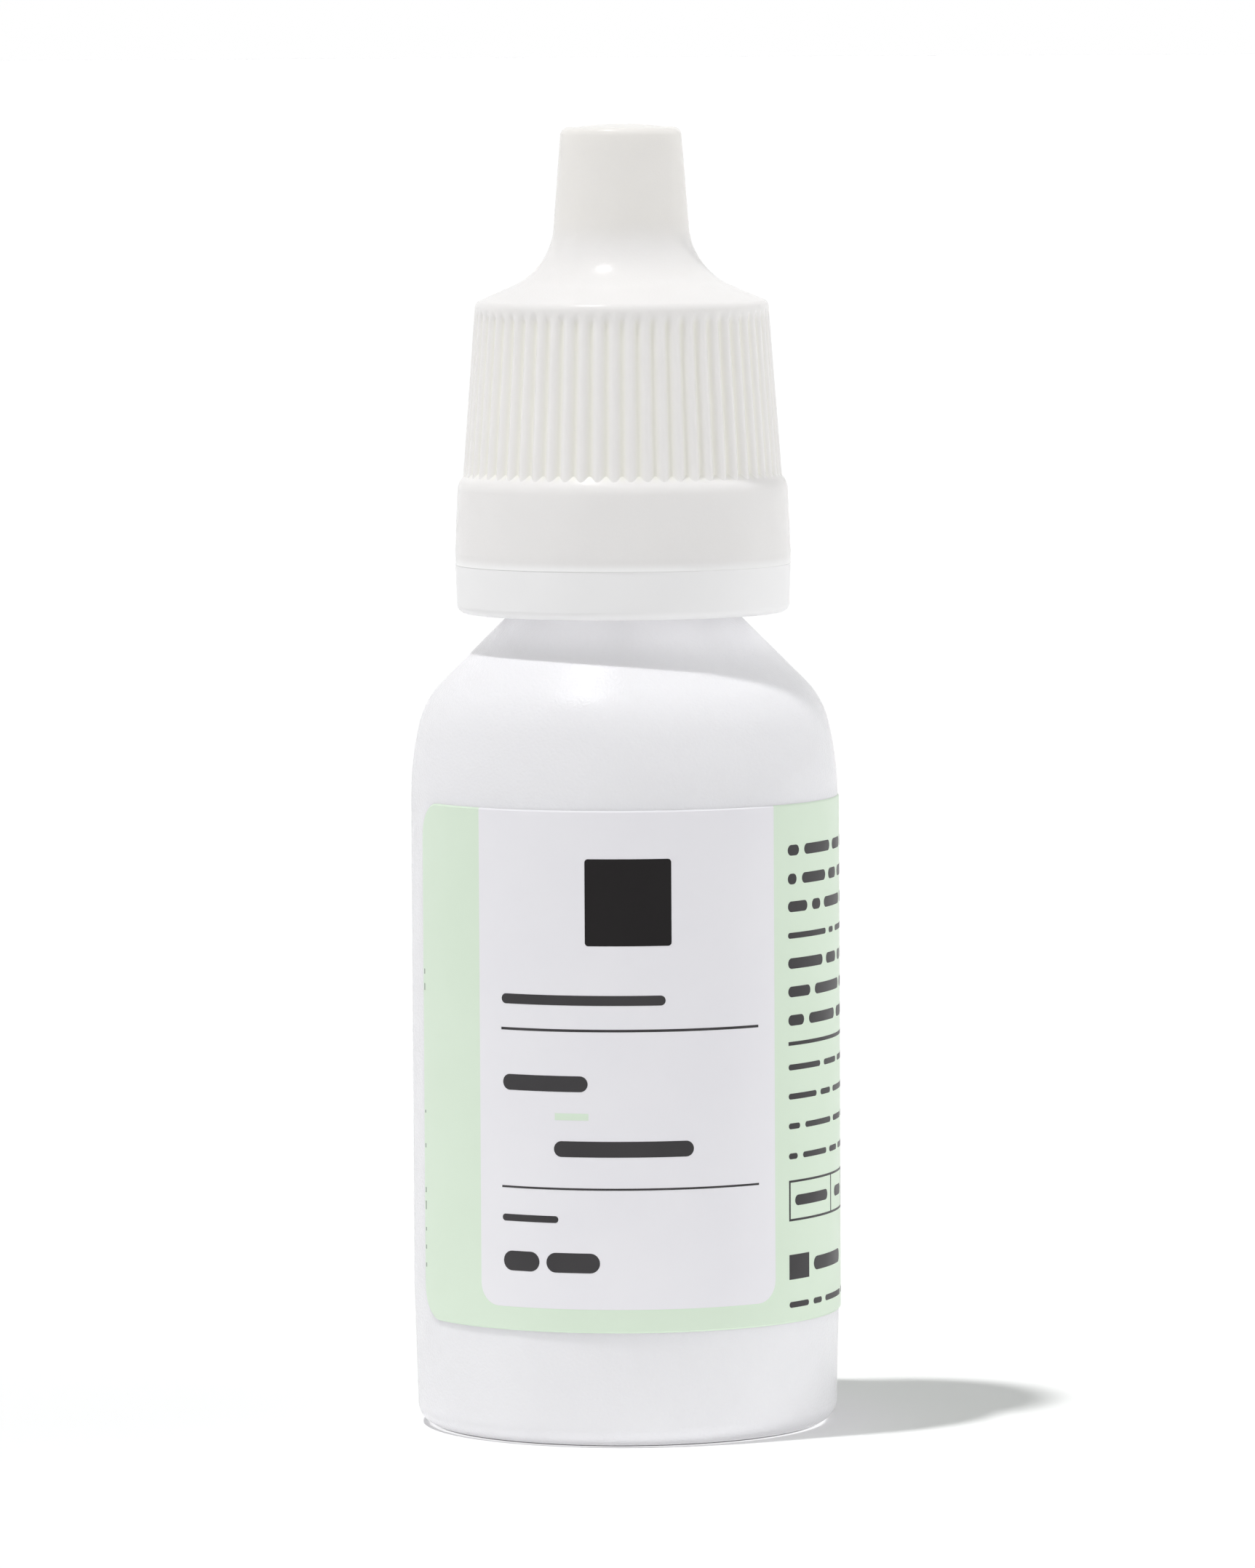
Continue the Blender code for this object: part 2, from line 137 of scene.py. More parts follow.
# Tamper ring
ring_seam = 0.006 * MM
ring_wall = 1.00 * MM
ring_draft = 0.09 * MM
ring_foot_fillet = 0.52 * MM
ring_top_fillet = 0.008 * MM
hook_catch = 0.55 * MM
hook_edge = 0.70 * MM
hook_foot_width = 0.20 * MM
hook_fillet = 0.10 * MM
hook_count = 8
hook_slot_width = 1.20 * MM
hook_gap = 0.30 * MM
bridge_count = 12
bridge_width = 0.45 * MM
bridge_inset = 0.03 * MM
bridge_depth = 0.60 * MM
bridge_sink = 0.25 * MM
bridge_tip_gap = 0.002 * MM
boolean_overrun = 0.50 * MM

# Screw cap
collar_edge_fillet = 0.008 * MM
burr_height = 0.11 * MM
burr_rise = 0.016 * MM
burr_peak_share = 0.25
collar_belly_height = 0.70 * MM
collar_belly_fillet = 1.00 * MM
collar_belly = 0.02 * MM
collar_draft = 0.18 * MM
collar_height = 4.75 * MM
collar_fillet = 1.10 * MM
collar_wall = 1.27 * MM
collar_bore_height = 2.00 * MM
collar_bore_slope = 0.60 * MM
cap_bore_gap = 1.05 * MM
skirt_step = 0.40 * MM
skirt_wall = 0.97 * MM
skirt_flare = 0.76 * MM
skirt_fillet = 0.48 * MM
skirt_height = 10.17 * MM
roof_rise = 1.92 * MM
roof_wall = 1.05 * MM
roof_bore_fillet = 0.40 * MM
nose_root_inset = 4.426 * MM
flare_fillet = 4.05 * MM
nose_length = 8.22 * MM
nose_taper = 0.634 * MM
nose_fillet = 0.50 * MM
nose_crown = 0.24 * MM
crown_steps = 8
nose_top_wall = 1.00 * MM
gate_radius = 0.45 * MM
gate_depth = 0.07 * MM
pin_radius = 0.45 * MM
pin_tip_radius = 0.22 * MM
pin_length = 1.20 * MM
# Reach of the painted light, a lighter tone, up from the collar's bottom edge
painted_edge_light_reach = 0.55 * MM
# Heights above the nose root over which painted light, a warmer tone, fades in
painted_nose_light_span = (1.00 * MM, 3.20 * MM)
rib_count = 60
rib_sharpness = 1.25
rib_depth = 0.235 * MM
rib_fade_length = 0.95 * MM
rib_low_shares = (0, 0.01, 0.03, 0.25, 0.5, 0.75)
rib_top_rings = 14
valley_limit = 1.05
# Power of the valley depth in the mask of the painted valley shade
valley_shade_power = 2
collar_foot_radius = collar_radius - collar_belly

# Dropper insert
plug_length = 6.50 * MM
plug_chamfer = 0.50 * MM
plug_wall = 1.30 * MM
plug_fit = 0.02 * MM
seal_count = 2
seal_height = 0.02 * MM
seal_width = 0.80 * MM
seal_pitch = 1.90 * MM
flange_thickness = 0.90 * MM
flange_inset = 0.25 * MM
flange_fillet = 0.15 * MM
nozzle_root_radius = 4.50 * MM
nozzle_root_fillet = 0.20 * MM
nozzle_shoulder_radius = 4.20 * MM
nozzle_shoulder_height = 1.10 * MM
nozzle_shoulder_fillet = 0.50 * MM
nozzle_waist_radius = 2.50 * MM
nozzle_waist_height = 2.60 * MM
nozzle_waist_fillet = 2.40 * MM
nozzle_tip_radius = 1.95 * MM
nozzle_tip_fillet = 0.50 * MM
channel_radius = 1.15 * MM
channel_fillet = 0.30 * MM
orifice_radius = 0.25 * MM
orifice_length = 1.00 * MM
mouth_radius = 0.90 * MM
mouth_depth = 1.60 * MM
mouth_fillet = 0.15 * MM
plug_radius = neck_bore - plug_fit
flange_bottom = insert_low.z + plug_length
flange_top = flange_bottom + flange_thickness

# Label film
film_gap = 0.01 * MM
film_thickness = 0.065 * MM
film_bevel = 0.09 * MM
bevel_share = 0.8
film_corner = 1.95 * MM
film_start = math.radians(-69.2)
film_end = math.radians(249.5)
film_column = math.radians(1.5)
film_outer = body_radius + film_gap + film_thickness
corner_steps = 8
panel_start = math.radians(-42.0)
panel_end = math.radians(43.2)
panel_bottom = 8.07 * MM
panel_corner = 1.30 * MM

# Printing
ink_rise = 0.008 * MM
ink_sink = 0.030 * MM
square_left = math.radians(-10.6)
square_size = 5.02 * MM
square_height = 31.61 * MM
square_corner = 0.20 * MM
rule_left = math.radians(-34.7)
rule_width = 15.85 * MM
dash_left = math.radians(-19.0)
dash_size = (2.00 * MM, 0.40 * MM)
front_dash_height = 19.22 * MM
side_left = math.radians(48.6)
side_width = 14.2 * MM
word_gap = 0.55 * MM
bold_stroke = 0.62 * MM
thin_stroke = 0.34 * MM
frame_stroke = 0.13 * MM
frame_low = 12.70 * MM
frame_high = 14.95 * MM
frame_width = 8.40 * MM
frame_split = 4.95 * MM
block_size = (1.95 * MM, 1.45 * MM)
block_height = 9.95 * MM
block_word = 4.60 * MM
block_stroke = 0.80 * MM
split_gap = 1.5 * word_gap
side_word_step = 4
back_columns = ((math.radians(121), 12.6 * MM), (math.radians(187), 12.0 * MM))
back_top = 34.9 * MM
back_pitch = 1.36 * MM
back_rows = 15
back_heading_every = 5
back_word_steps = (2, 5)
back_box_low = 8.6 * MM
back_box_high = 13.4 * MM
heading_share = 0.6

# Plain bars on the panel as (left angle in degrees, width, middle height, thickness)
front_words = (
    (-34.5, 9.90 * MM, 25.95 * MM, 0.58 * MM),
    (-34.2, 5.30 * MM, 21.12 * MM, 0.92 * MM),
    (-19.3, 8.20 * MM, 17.35 * MM, 0.92 * MM),
    (-34.6, 3.60 * MM, 13.25 * MM, 0.40 * MM),
    (-34.3, 2.35 * MM, 10.75 * MM, 1.15 * MM),
    (-21.6, 3.20 * MM, 10.75 * MM, 1.15 * MM),
)
# Rules on the panel as (height, thickness)
front_rules = ((24.21 * MM, 0.15 * MM), (15.04 * MM, 0.12 * MM))
# Rows of plain bars beside the panel as (middle height, stroke)
side_rows = (
    (34.22 * MM, bold_stroke), (32.55 * MM, bold_stroke), (30.94 * MM, bold_stroke),
    (29.26 * MM, thin_stroke), (27.64 * MM, bold_stroke), (25.99 * MM, bold_stroke),
    (24.33 * MM, bold_stroke), (21.60 * MM, thin_stroke), (19.90 * MM, thin_stroke),
    (18.17 * MM, thin_stroke), (16.42 * MM, thin_stroke), (7.75 * MM, thin_stroke),
)
side_rule = (22.98 * MM, 0.22 * MM)
# Bar widths, taken in turn along those rows
word_widths = tuple(width * MM for width in (1.05, 3.40, 2.20, 4.30, 0.80, 2.90, 1.50, 3.80, 1.90))
# Faint specks of print beside the film's left edge, as (middle height, length)
edge_specks = (
    (27.00 * MM, 0.30 * MM), (26.10 * MM, 0.40 * MM), (18.80 * MM, 0.16 * MM), (16.80 * MM, 0.24 * MM),
    (14.20 * MM, 0.30 * MM), (13.30 * MM, 0.50 * MM), (11.90 * MM, 0.20 * MM), (10.85 * MM, 0.24 * MM),
    (9.80 * MM, 0.24 * MM),
)
edge_speck_inset = 0.14 * MM
edge_speck_width = 0.14 * MM

# Plastics as (two tones, low and high roughness, gloss, (grain waves to a metre, grain depth), glow)
bottle_look = (
    ((0.867, 0.862, 0.882), (0.887, 0.882, 0.902)), (0.22, 0.26), 0.10, (6000.0, 0.028 * MM), 0.30,
)
insert_look = (
    ((0.86, 0.87, 0.87), (0.88, 0.89, 0.88)), (0.30, 0.36), 0.20, (7000.0, 0.001 * MM), 0.50,
)
ring_look = (
    ((0.925, 0.92, 0.92), (0.945, 0.94, 0.94)), (0.30, 0.36), 0.15, (7000.0, 0.001 * MM), 0.0,
)
cap_look = (
    ((0.868, 0.853, 0.842), (0.888, 0.873, 0.862)), (0.20, 0.26), 0.13, (7000.0, 0.007 * MM), 0.38,
)
# Painted shade: a yellower tint in the rib valleys
groove_tone = (0.87, 0.86, 0.795)
# Painted light: a lighter tone along the collar's thin bottom edge
painted_edge_light_tone = (0.97, 0.965, 0.96)
# Painted light: a warmer tone for light that comes through the thin nose
painted_nose_light_tone = (0.888, 0.866, 0.834)
plastic_index = 1.51
# Depth that light reaches into the plastic, and the shares of it for red, green and blue
glow_depth = 1.2 * MM
glow_shares = (1.0, 0.95, 0.85)

# Film and print, each as two tones
mint_tones = ((0.735, 0.86, 0.708), (0.752, 0.875, 0.726))
white_tones = ((0.875, 0.865, 0.90), (0.895, 0.885, 0.915))
ink_tones = ((0.045, 0.043, 0.045), (0.056, 0.053, 0.056))
black_tones = ((0.007, 0.0055, 0.006), (0.010, 0.0085, 0.009))
faint_tones = ((0.32, 0.35, 0.32), (0.36, 0.39, 0.36))
film_roughness = (0.34, 0.46)
film_grain = (3200.0, 0.0006 * MM)
film_gloss = 0.2
film_index = 1.5

# Liquid
liquid_tones = ((0.93, 0.97, 0.98), (0.97, 0.99, 1.0))
liquid_roughness = (0.0, 0.03)
liquid_grain = (300.0, 0.002 * MM)
liquid_index = 1.333

# Noise in the materials, with its scales as waves to a metre
mottle_waves = 160.0
mottle_detail = 2.0
gloss_waves = 420.0
fine_detail = 3.0
noise_roughness = 0.55
noise_span = (0.3, 0.7)

# Stage, light and camera
floor_reaches = (8.0, 300.0)
floor_drop = 0.00002
floor_seen = 1.00
# Painted pool of light: what the floor reflects of light on its way, near the bottle and far out, and the
# distances over which it falls off
floor_painted_light_pool = (0.99, 0.80)
floor_light_pool_reach = (0.02, 0.16)
studio_level = 0.212
# Soft brighter stretches of the studio, as (direction, gain, sharpness)
studio_lobes = (
    ((1.0, 0.0, 0.0), 1.39, 2.0),
    ((-1.0, 0.0, 0.0), 0.72, 2.0),
    ((0.0, -1.0, 0.0), 0.27, 2.0),
)
studio_tint = (0.99, 0.995, 1.0)
key_direction = (-0.256, -0.132, 1.0)
key_strength = 1.69
key_angle = math.radians(2.6)
# Light that comes through the plastic, as (name, level, radius, height)
through_lights = (
    ("ring_glow", 0.42, 9.00 * MM, ring_low.z - 0.03 * MM),
    ("foot_glow", 0.38, 11.70 * MM, 0.03 * MM),
)
image_height = 2156
focal_pixels = 13562
sensor_size = 36.0
camera_place = (0.00019, -0.577, 0.0802)
camera_pitch = math.radians(4.23)
camera_roll = math.radians(-0.31)
nearest_view = 0.05
farthest_view = 500.0


def rounded(corners):
    """The points of a line of (radius, height, fillet) corners, with each fillet as an arc."""
    points = []
    for index, (radius, height, fillet) in enumerate(corners):
        here = Vector((radius, height))
        if not fillet:
            points.append(here)
            continue
        back = (Vector(corners[index - 1][:2]) - here).normalized()
        ahead = (Vector(corners[index + 1][:2]) - here).normalized()
        half_angle = back.angle(ahead) / 2
        reach = fillet / math.tan(half_angle)
        centre = here + (back + ahead).normalized() * fillet / math.sin(half_angle)
        first = (here + back * reach - centre).normalized()
        last = (here + ahead * reach - centre).normalized()
        steps = max(least_arc_steps, math.ceil((math.pi - 2 * half_angle) / arc_step))
        points += [centre + first.slerp(last, step / steps) * fillet for step in range(steps + 1)]
    return points


def inset(corners, depth):
    """The corners of a parallel line, moved to the left of the way that the given ones run."""
    moved = []
    for index, (radius, height, fillet) in enumerate(corners):
        here = Vector((radius, height))
        ways = []
        if index > 0:
            ways.append((here - Vector(corners[index - 1][:2])).normalized())
        if index < len(corners) - 1:
            ways.append((Vector(corners[index + 1][:2]) - here).normalized())
        sides = [Vector((-way.y, way.x)) for way in ways]
        mitre = (sides[0] + sides[-1]).normalized()
        place = here + mitre * depth / mitre.dot(sides[0])
        left_turn = sides[0].dot(ways[-1]) > 0
        new_fillet = fillet - depth if left_turn else fillet + depth
        moved.append((place.x, place.y, max(0, new_fillet) if fillet else 0))
    return moved


def height_on_line(lower, upper, radius):
    """The height at which the line through two corners reaches a radius."""
    share = (radius - lower[0]) / (upper[0] - lower[0])
    return lower[1] + share * (upper[1] - lower[1])


def circle(radius, height, columns):
    """A ring of places around the axis. Radius and height may differ from column to column."""
    angles = np.arange(columns) * math.tau / columns
    radii = np.broadcast_to(radius, columns)
    heights = np.broadcast_to(height, columns)
    return np.stack([radii * np.cos(angles), radii * np.sin(angles), heights], axis=1)


def circles(points, columns):
    """The rings of a turned outline, with a single place where it meets the axis."""
    return [circle(x, y, columns) if x > 0 else np.array([[0.0, 0.0, y]]) for x, y in points]


def band(start, count, next_start, next_count):
    """The faces between two neighbouring rings, whose counts differ by a whole ratio."""
    if count < next_count:
        return [face[::-1] for face in band(next_start, next_count, start, count)]
    ratio = count // next_count
    faces = []
    for index in range(next_count):
        wide = [start + (index * ratio + step) % count for step in range(ratio + 1)]
        if next_count == 1:
            faces += [(a, b, next_start) for a, b in zip(wide, wide[1:])]
            continue
        faces.append((*wide, next_start + (index + 1) % next_count, next_start + index))
    return faces


def skin(name, rings, looped=False):
    """A closed piece through rings of places, which ends in single places or is looped."""
    starts = np.cumsum([0] + [len(ring) for ring in rings])
    pairs = list(zip(range(len(rings) - 1), range(1, len(rings))))
    if looped:
        pairs.append((len(rings) - 1, 0))
    faces = []
    for here, there in pairs:
        faces += band(int(starts[here]), len(rings[here]), int(starts[there]), len(rings[there]))
    mesh = bpy.data.meshes.new(name)
    mesh.from_pydata(np.concatenate(rings).tolist(), [], faces)
    return piece_from(name, mesh)


def new_object(name, data):
    """A new object in the scene, from a mesh, a lamp or a lens."""
    item = bpy.data.objects.new(name, data)
    bpy.context.scene.collection.objects.link(item)
    return item


def piece_from(name, mesh):
    """A new object in the scene, with the faces of its mesh turned outwards."""
    work = bmesh.new()
    work.from_mesh(mesh)
    bmesh.ops.remove_doubles(work, verts=work.verts, dist=weld_distance)
    bmesh.ops.recalc_face_normals(work, faces=work.faces)
    work.to_mesh(mesh)
    work.free()
    return new_object(name, mesh)


def add_sections(work, sections):
    """Skin a row of equally long sections into one closed body, and give back its faces."""
    rows = [[work.verts.new(place) for place in section] for section in sections]
    faces = []
    for row, following in zip(rows, rows[1:]):
        for index in range(len(row)):
            after = (index + 1) % len(row)
            faces.append(work.faces.new((row[index], row[after], following[after], following[index])))
    faces.append(work.faces.new(rows[0]))
    faces.append(work.faces.new(rows[-1]))
    return faces


def from_work(name, work):
    """A new object from a working mesh, which is freed."""
    mesh = bpy.data.meshes.new(name)
    work.to_mesh(mesh)
    work.free()
    return piece_from(name, mesh)


def around(angle, radius, height):
    """The place at an angle from the front, a radius and a height."""
    turn = FRONT + angle
    return (radius * math.cos(turn), radius * math.sin(turn), height)


def combine(piece, tool, operation):
    """Cut a tool out of a piece or join it on, and keep the result as the piece's own mesh."""
    change = piece.modifiers.new(tool.name, "BOOLEAN")
    change.operation = operation
    change.solver = "EXACT"
    change.object = tool
    view = bpy.context.evaluated_depsgraph_get()
    result = bpy.data.meshes.new_from_object(piece.evaluated_get(view))
    piece.modifiers.clear()
    piece.data = result
    bpy.data.objects.remove(tool)


def shade(piece):
    """Smooth shading that keeps the real edges crisp."""
    piece.data.shade_smooth()
    piece.data.set_sharp_from_angle(angle=sharp_angle)


def thread_ridge(name, wall_radius, depth, start_height, start_turns, turns):
    """A helical ridge that stands on a wall, outward for a positive depth, and runs out at both ends."""
    sink = math.copysign(thread_sink, depth)
    steps = round(turns * thread_columns)
    half_root = thread_root_width / 2
    half_crest = thread_crest_width / 2
    edge_half = half_crest + (half_root - half_crest) * (1 - thread_edge_share) * thread_edge_bulge
    sections = []
    for step in range(steps + 1):
        turned_by = turns * step / steps
        end_distance = min(turned_by, turns - turned_by)
        share = math.sin(min(1, end_distance / run_out_turns) * math.pi / 2)
        angle = (start_turns + turned_by) * math.tau - FRONT
        middle = start_height + turned_by * thread_lead
        root = wall_radius - sink
        crest = root + (depth + sink) * share if share else root + sink / 2
        edge = root + (crest - root) * thread_edge_share
        outline = [
            (root, -half_root), (edge, -edge_half), (crest, -half_crest * thread_edge_share),
            (crest, half_crest * thread_edge_share), (edge, edge_half), (root, half_root),
        ]
        sections.append([around(angle, radius, middle + lift) for radius, lift in outline])
    work = bmesh.new()
    add_sections(work, sections)
    return from_work(name, work)


def boxes_around(name, count, inner, outer, width, bottom, top):
    """Equal radial boxes, evenly spaced around the axis."""
    work = bmesh.new()
    for index in range(count):
        angle = index * math.tau / count
        along = Vector((math.cos(angle), math.sin(angle), 0))
        across = Vector((-along.y, along.x, 0)) * width / 2
        sections = []
        for height in (bottom, top):
            lift = Vector((0, 0, height))
            near, far = along * inner + lift, along * outer + lift
            sections.append([near - across, far - across, far + across, near + across])
        add_sections(work, sections)
    return from_work(name, work)


def node(tree, kind, inputs=None, **settings):
    """A shader node with its settings, and its inputs by name as values or as sockets to link."""
    made = tree.nodes.new(kind)
    for name, value in settings.items():
        setattr(made, name, value)
    for name, value in (inputs or {}).items():
        if isinstance(value, bpy.types.NodeSocket):
            tree.links.new(value, made.inputs[name])
        else:
            made.inputs[name].default_value = value
    return made


def noise(tree, place, scale, detail):
    """Soft noise over a piece, with the given number of waves to a metre."""
    inputs = {"Vector": place, "Scale": scale, "Detail": detail, "Roughness": noise_roughness}
    return node(tree, "ShaderNodeTexNoise", inputs).outputs["Fac"]


def spread(tree, value, low, high):
    """Noise, which lies around a half, spread over the span from low to high."""
    least, most = noise_span
    inputs = {"Value": value, "From Min": least, "From Max": most, "To Min": low, "To Max": high}
    return node(tree, "ShaderNodeMapRange", inputs).outputs["Result"]


def blend_colour(tree, share, first, second):
    """A mix of two colours. The node's own colour sockets are its inputs 6 and 7 and its output 2."""
    made = node(tree, "ShaderNodeMix", {"Factor": share}, data_type="RGBA")
    for socket, colour in ((made.inputs[6], first), (made.inputs[7], second)):
        if isinstance(colour, bpy.types.NodeSocket):
            tree.links.new(colour, socket)
        else:
            socket.default_value = (*colour, 1.0)
    return made.outputs[2]


def height_share(tree, place, none, full):
    """A smooth share of one colour that is none at one height and full at another."""
    height = node(tree, "ShaderNodeSeparateXYZ", {"Vector": place}).outputs["Z"]
    inputs = {"Value": height, "From Min": none, "From Max": full}
    return node(tree, "ShaderNodeMapRange", inputs, interpolation_type="SMOOTHSTEP").outputs["Result"]


def material(name, tones, roughness, grain, fixed, groove=None, edge=None, nose=None):
    """A Principled material with mottled colour, uneven gloss and a fine moulded or printed grain.

    Tones are two colours, roughness its low and high value, grain (waves to a metre, depth), and
    fixed the shader's plain values. The tone for the valleys is painted shade: a yellower tint in
    the rib valleys that a mesh attribute marks. Edge (colour, height, end) is painted light: a
    lighter tone, without glow, that fades out from a thin edge's height up to its end. Nose (colour,
    start, end) is painted light: a warmer tone for light that comes through thin plastic, which
    fades in from its start up to its end.
    """
    made = bpy.data.materials.new(name)
    made.use_nodes = True
    tree = made.node_tree
    shader = tree.nodes["Principled BSDF"]
    place = node(tree, "ShaderNodeTexCoord").outputs["Object"]
    cloud = noise(tree, place, mottle_waves, mottle_detail)
    colour = blend_colour(tree, spread(tree, cloud, 0.0, 1.0), *tones)
    # Painted shade: a yellower tint in the rib valleys, blended in by the mesh's valley mask
    if groove:
        mark = node(tree, "ShaderNodeAttribute", attribute_name="groove").outputs["Fac"]
        colour = blend_colour(tree, mark, colour, groove)
    # Painted light: a warmer tone that fades in up the nose, for light through its thin plastic
    if nose:
        tone, start, end = nose
        colour = blend_colour(tree, height_share(tree, place, start, end), colour, tone)
    # Painted light: a lighter tone along a thin edge, with the glow taken away there
    if edge:
        tone, low, high = edge
        share = height_share(tree, place, high, low)
        colour = blend_colour(tree, share, colour, tone)
        inputs = {"Value": share, "To Min": fixed["Subsurface Weight"], "To Max": 0.0}
        glow = node(tree, "ShaderNodeMapRange", inputs).outputs["Result"]
        tree.links.new(glow, shader.inputs["Subsurface Weight"])
    tree.links.new(colour, shader.inputs["Base Color"])
    patches = noise(tree, place, gloss_waves, fine_detail)
    tree.links.new(spread(tree, patches, *roughness), shader.inputs["Roughness"])
    waves, depth = grain
    fine = noise(tree, place, waves, fine_detail)
    bump = node(tree, "ShaderNodeBump", {"Height": fine, "Strength": 1.0, "Distance": depth})
    tree.links.new(bump.outputs["Normal"], shader.inputs["Normal"])
    for socket, value in fixed.items():
        shader.inputs[socket].default_value = value
    return made


def soft_plastic(name, tones, roughness, gloss, grain, glow, **accents):
    """Moulded polyethylene: satin, with a very fine grain, and a glow of light from inside it."""
    fixed = {
        "Subsurface Weight": glow,
        "Subsurface Radius": glow_shares,
        "Subsurface Scale": glow_depth,
        "IOR": plastic_index,
        "Specular IOR Level": gloss,
    }
    made = material(name, tones, roughness, grain, fixed, **accents)
    made.node_tree.nodes["Principled BSDF"].subsurface_method = "BURLEY"
    return made


def film_material(name, tones):
    """Printed plastic film: satin, with a faint print grain."""
    fixed = {"IOR": film_index, "Specular IOR Level": film_gloss}
    return material(name, tones, film_roughness, film_grain, fixed)


def finish_piece(piece, body, slot, materials, *nodes):
    """Give a piece its materials, shading, body and the nodes that it stands for."""
    for each in materials:
        piece.data.materials.append(each)
    shade(piece)
    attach(piece, body)
    if nodes:
        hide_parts(*nodes)


def bottle_foot():
    """The bottle's underside: the recess, and the flat ring around it that the bottle stands on."""
    return [
        (0, recess_depth + recess_crown, 0),
        (recess_radius / 2, recess_depth + recess_crown * recess_halfway_share, 0),
        (recess_radius, recess_depth, recess_fillet),
        (foot_radius - foot_width, 0, foot_edge),
    ]


def bottle_wall():
    """The outside of the bottle from the heel to the neck."""
    return [
        (body_radius - heel_draft, 0, heel_fillet),
        (body_radius, heel_draft_height, 0),
        (body_radius, brow_height, brow_fillet),
        (body_radius - shoulder_inset, brow_height + shoulder_rise, shoulder_fillet),
        (neck_radius, neck_root, neck_root_fillet),
    ]


def bottle_neck():
    """The outside of the neck: the tamper bead, and the straight part up to the rim."""
    bead_underside = neck_root + bead_rise
    return [
        (neck_radius, bead_underside, 0),
        (bead_radius, bead_underside, bead_edge_fillet),
        (bead_radius, bead_underside + bead_edge, bead_edge_fillet),
        (neck_radius, bead_underside + bead_edge + bead_slope_height, neck_root_fillet),
        (neck_radius, rim_height - rim_chamfer, 0),
        (neck_radius - rim_chamfer, rim_height, 0),
    ]


def bottle_inside():
    """The inside of the bottle, from the middle of its floor up to its rim."""
    heel, draft_top, brow, shoulder, root = inset(bottle_wall(), body_wall)
    floor_height = recess_depth + body_wall
    return [
        (0, floor_height + recess_crown, 0),
        (recess_radius, floor_height, 0),
        (heel[0], floor_height, floor_fillet),
        draft_top,
        brow,
        shoulder,
        (neck_bore, height_on_line(shoulder, root, neck_bore), neck_bore_fillet),
        (neck_bore, rim_height, 0),
    ]


def raise_parting_line(rings):
    """Raise a faint mould parting line on two opposite sides of the wall's rings."""
    for ring in rings:
        if len(ring) != body_columns or ring[0][0] < neck_radius:
            continue
        for side in (0, math.pi):
            index = round((side + parting_angle) / math.tau * body_columns)
            ring[index][:2] *= 1 + parting_ridge / ring[0][0]


def make_bottle():
    """The soft bottle, hollow, with foot ring, rounded shoulder, neck bead and thread."""
    rings = circles(rounded(bottle_foot() + bottle_wall() + bottle_neck()), body_columns)
    raise_parting_line(rings)
    rings += circles(rounded(bottle_inside())[::-1], cavity_columns)
    bottle = skin("bottle_shell", rings)
    thread = thread_ridge("neck_thread", neck_radius, thread_depth, neck_root + thread_rise,
                          0, neck_thread_turns)
    combine(bottle, thread, "UNION")
    plastic = soft_plastic("bottle_polyethylene", *bottle_look)
    finish_piece(bottle, "bottle", "bottle_plastic", [plastic], "bottle")
    return plastic


def make_pinch_line(plastic):
    """The low welded line that the mould leaves across the recessed base."""
    work = bmesh.new()
    sections = []
    for step in range(pinch_steps + 1):
        share = 2 * step / pinch_steps - 1
        along = Vector((math.cos(parting_angle), math.sin(parting_angle), 0))
        across = Vector((-along.y, along.x, 0))
        middle = along * share * pinch_length / 2
        roof = recess_depth + recess_crown * (1 - pinch_end_drop * abs(share))
        bulge = math.sqrt(max(0.0, 1 - share ** pinch_bluntness))
        half_width = pinch_width / 2 * (pinch_end_width + (1 - pinch_end_width) * bulge)
        section = []
        for turn in np.linspace(0, math.pi, pinch_arc_points):
            side = across * math.cos(turn) * half_width
            drop = pinch_height * bulge * math.sin(turn)
            section.append(middle + side + Vector((0, 0, roof - drop)))
        section.append(middle + Vector((0, 0, roof + pinch_sink)))
        sections.append(section)
    add_sections(work, sections)
    finish_piece(from_work("pinch_line", work), "bottle", "bottle_plastic", [plastic])


def insert_outside():
    """The nozzle's outside: plug with seal rings, flange on the rim and tapered spout."""
    line = [
        (plug_radius - plug_chamfer, insert_low.z, 0),
        (plug_radius, insert_low.z + plug_chamfer, 0),
    ]
    for index in reversed(range(seal_count)):
        middle = flange_bottom - (index + 1) * seal_pitch
        line += [
            (plug_radius, middle - seal_width / 2, 0),
            (plug_radius + seal_height, middle, 0),
            (plug_radius, middle + seal_width / 2, 0),
        ]
    return line + [
        (plug_radius, flange_bottom, 0),
        (neck_radius - flange_inset, flange_bottom, flange_fillet),
        (neck_radius - flange_inset, flange_top, flange_fillet),
        (nozzle_root_radius, flange_top, nozzle_root_fillet),
        (nozzle_shoulder_radius, flange_top + nozzle_shoulder_height, nozzle_shoulder_fillet),
        (nozzle_waist_radius, flange_top + nozzle_waist_height, nozzle_waist_fillet),
        (nozzle_tip_radius, insert_high.z, nozzle_tip_fillet),
    ]


def insert_channel():
    """The nozzle's channel, from the plug's open end through the orifice to the mouth."""
    orifice_top = insert_high.z - mouth_depth
    channel_top = orifice_top - orifice_length
    return [
        (plug_radius - plug_wall, insert_low.z, 0),
        (plug_radius - plug_wall, flange_bottom - seal_pitch, channel_fillet),
        (channel_radius, flange_top, channel_fillet),
        (channel_radius, channel_top, 0),
        (orifice_radius, channel_top + channel_radius - orifice_radius, 0),
        (orifice_radius, orifice_top, 0),
        (mouth_radius, insert_high.z, mouth_fillet),
    ]


def make_insert():
    """The press-fitted nozzle that the drops come out of."""
    line = rounded(insert_outside() + insert_channel()[::-1])
    insert = skin("dropper_nozzle", circles(line, insert_columns), looped=True)
    plastic = soft_plastic("insert_polyethylene", *insert_look)
    finish_piece(insert, "bottle", "insert_plastic", [plastic], "dropper_insert")


